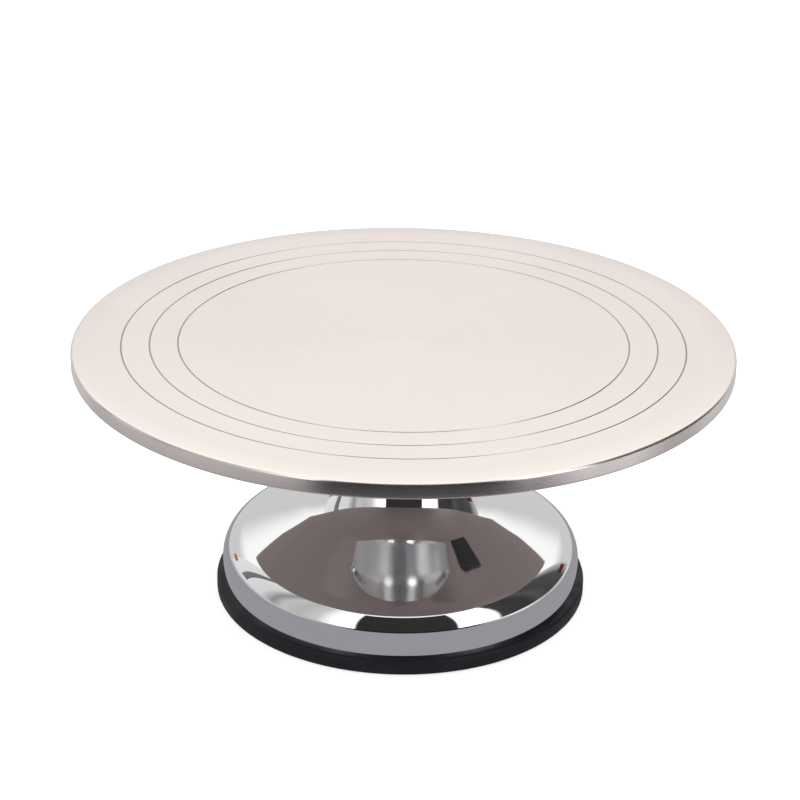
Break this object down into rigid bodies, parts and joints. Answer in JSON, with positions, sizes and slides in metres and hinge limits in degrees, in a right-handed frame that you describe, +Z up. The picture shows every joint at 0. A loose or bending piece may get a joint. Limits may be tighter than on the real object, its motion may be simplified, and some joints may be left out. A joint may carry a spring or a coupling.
{
  "type": "cake turntable",
  "caption": "Round aluminium cake turntable that spins on ball bearings above a bell-shaped, weighted chrome base with a rubber foot ring.",
  "frame": {"origin": "on the spin axis, at the surface that the turntable stands on", "axes": "+Z up along the spin axis; -Y towards the front of the picture's view, midway between two of the hub's clamp screws"},
  "size_m": [0.2988, 0.2988, 0.1248],
  "materials": {
    "base_cover": "polished",
    "rubber_foot_ring": "satin",
    "ballast_plate": "as cast",
    "spindle": "turned",
    "flange_screws": "zinc plated",
    "cover_ring_nut": "turned",
    "lower_bearing_inner_race": "ground",
    "upper_bearing_inner_race": "ground",
    "race_spacer": "turned",
    "spindle_end_washer": "zinc plated",
    "spindle_end_screw": "black oxide",
    "turntable_plate": "satin turned",
    "bearing_hub": "turned",
    "hub_clamp_screws": "black oxide",
    "snap_ring": "phosphated",
    "underside_label": "matte",
    "lower_bearing_outer_race": "ground",
    "upper_bearing_outer_race": "ground",
    "lower_bearing_shields": "pressed",
    "upper_bearing_shields": "pressed",
    "lower_bearing_balls": "polished",
    "lower_bearing_cage": "turned",
    "upper_bearing_balls": "polished",
    "upper_bearing_cage": "turned"
  },
  "bodies": {
    "base": {"base_cover": "base_cover", "rubber_foot_ring": "rubber_foot_ring", "ballast_plate": "ballast_plate", "spindle": "spindle", "flange_screws": "flange_screws", "cover_ring_nut": "cover_ring_nut", "lower_bearing_inner_race": "lower_bearing_inner_race", "upper_bearing_inner_race": "upper_bearing_inner_race", "race_spacer": "race_spacer", "spindle_end_washer": "spindle_end_washer", "spindle_end_screw": "spindle_end_screw"},
    "turntable": {"turntable_plate": "turntable_plate", "bearing_hub": "bearing_hub", "hub_clamp_screws": "hub_clamp_screws", "snap_ring": "snap_ring", "underside_label": "underside_label", "lower_bearing_outer_race": "lower_bearing_outer_race", "upper_bearing_outer_race": "upper_bearing_outer_race", "lower_bearing_shields": "lower_bearing_shields", "upper_bearing_shields": "upper_bearing_shields"},
    "lower_ball_set": {"lower_bearing_balls": "lower_bearing_balls", "lower_bearing_cage": "lower_bearing_cage"},
    "upper_ball_set": {"upper_bearing_balls": "upper_bearing_balls", "upper_bearing_cage": "upper_bearing_cage"}
  },
  "joints": [
    {"name": "turntable_spin", "type": "hinge", "parent": "base", "child": "turntable", "pos_m": [0, 0, 0.0825], "axis": [0, 0, 1], "continuous": true},
    {"name": "lower_balls_spin", "type": "hinge", "parent": "base", "child": "lower_ball_set", "pos_m": [0, 0, 0.0765], "axis": [0, 0, 1], "continuous": true},
    {"name": "upper_balls_spin", "type": "hinge", "parent": "base", "child": "upper_ball_set", "pos_m": [0, 0, 0.0885], "axis": [0, 0, 1], "continuous": true}
  ],
  "couplings": [
    {"joint": "lower_balls_spin", "follows": "turntable_spin", "ratio": 0.571},
    {"joint": "upper_balls_spin", "follows": "turntable_spin", "ratio": 0.571}
  ]
}
